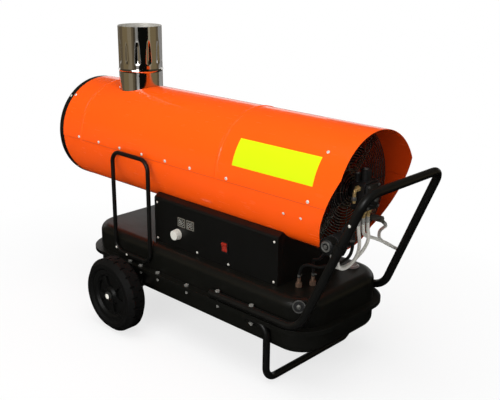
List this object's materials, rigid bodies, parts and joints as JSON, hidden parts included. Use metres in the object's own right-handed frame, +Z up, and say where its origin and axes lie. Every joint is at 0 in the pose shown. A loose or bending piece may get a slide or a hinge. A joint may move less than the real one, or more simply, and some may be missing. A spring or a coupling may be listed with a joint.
{
  "type": "flued diesel heater",
  "caption": "Wheeled diesel space heater: horizontal air barrel with flue on a flat fuel tank, control box between them, push handle and foot bar.",
  "frame": {"origin": "on the floor under the middle of the overall length and width", "axes": "+X from the air outlet to the fan and handle end, +Y to the far side (the control panel faces -Y), +Z up"},
  "size_m": [1.357, 0.6546, 0.97],
  "materials": {
    "casing_orange": "glossy orange powder coat",
    "black_paint": "semi-gloss black paint",
    "flue_steel": "polished stainless steel",
    "inner_steel": "heat-resistant steel",
    "zinc": "bright zinc plating",
    "cast_dark": "dark cast metal",
    "brass": "turned brass",
    "hose_black": "smooth black rubber",
    "braid": "woven steel braid",
    "tyre": "black rubber",
    "wheel_black": "moulded black",
    "knob_white": "moulded white",
    "rocker_red": "translucent red",
    "display_grey": "grey display window",
    "plastic_black": "moulded black",
    "gauge_pale": "pale moulded dial",
    "ceramic": "white ceramic sleeve",
    "board": "green circuit board"
  },
  "bodies": {
    "heater": {"upper_casing_front": "casing_orange", "upper_casing_rear": "casing_orange", "lower_casing": "casing_orange", "outlet_ring": "black_paint", "tank_upper": "black_paint", "tank_lower": "black_paint", "filler_neck": "black_paint", "control_panel": "black_paint", "control_box": "black_paint", "handle_tube": "black_paint", "support_loop_near": "black_paint", "support_loop_far": "black_paint", "foot_tube": "black_paint", "axle_bracket_near": "black_paint", "axle_bracket_far": "black_paint", "filter_clamp": "black_paint", "flue_pipe": "flue_steel", "heat_exchanger": "inner_steel", "combustion_chamber": "inner_steel", "exchanger_brackets": "inner_steel", "burner_plate": "inner_steel", "blast_tube": "inner_steel", "diffuser_disc": "inner_steel", "motor_bracket": "inner_steel", "fan_guard": "zinc", "tank_bolts": "zinc", "axle": "zinc", "axle_nuts": "zinc", "sheet_screws": "zinc", "drain_plug": "zinc", "fan_motor": "cast_dark", "fuel_pump": "cast_dark", "fuel_filter": "cast_dark", "fuel_nozzle": "brass", "pump_fittings": "brass", "nozzle_union": "brass", "tank_fittings": "brass", "fuel_hose_feed": "hose_black", "fuel_hose_return": "hose_black", "braided_hose_nozzle": "braid", "braided_hose_supply": "braid", "braided_hose_return": "braid", "digit_displays": "display_grey", "cable_gland": "plastic_black", "thermostat_body": "plastic_black", "switch_body": "plastic_black", "ignition_transformer": "plastic_black", "tank_plug": "plastic_black", "fuel_gauge": "gauge_pale", "ignition_electrodes": "ceramic", "control_board": "board"},
    "wheel_near": {"wheel_rim_near": "wheel_black", "tyre_near": "tyre"},
    "wheel_far": {"wheel_rim_far": "wheel_black", "tyre_far": "tyre"},
    "fan_rotor": {"fan": "plastic_black", "motor_shaft": "zinc"},
    "knob": {"thermostat_knob": "knob_white"},
    "rocker": {"rocker_switch": "rocker_red"},
    "cap": {"filler_cap": "plastic_black"}
  },
  "joints": [
    {"name": "wheel_near_spin", "type": "hinge", "parent": "heater", "child": "wheel_near", "pos_m": [-0.2365, -0.287, 0.125], "axis": [0, 1, 0], "continuous": true},
    {"name": "wheel_far_spin", "type": "hinge", "parent": "heater", "child": "wheel_far", "pos_m": [-0.2365, 0.287, 0.125], "axis": [0, 1, 0], "continuous": true},
    {"name": "fan_spin", "type": "hinge", "parent": "heater", "child": "fan_rotor", "pos_m": [0.4, 0, 0.584], "axis": [1, 0, 0], "continuous": true},
    {"name": "thermostat_turn", "type": "hinge", "parent": "heater", "child": "knob", "pos_m": [-0.078, -0.15, 0.34], "axis": [0, 1, 0], "range_deg": [0, 270]},
    {"name": "switch_rock", "type": "hinge", "parent": "heater", "child": "rocker", "pos_m": [0.138, -0.147, 0.354], "axis": [-1, 0, 0], "range_deg": [0, 20]},
    {"name": "cap_turn", "type": "hinge", "parent": "heater", "child": "cap", "pos_m": [-0.303, 0.12, 0.31], "axis": [0, 0, 1], "range_deg": [0, 90]}
  ]
}
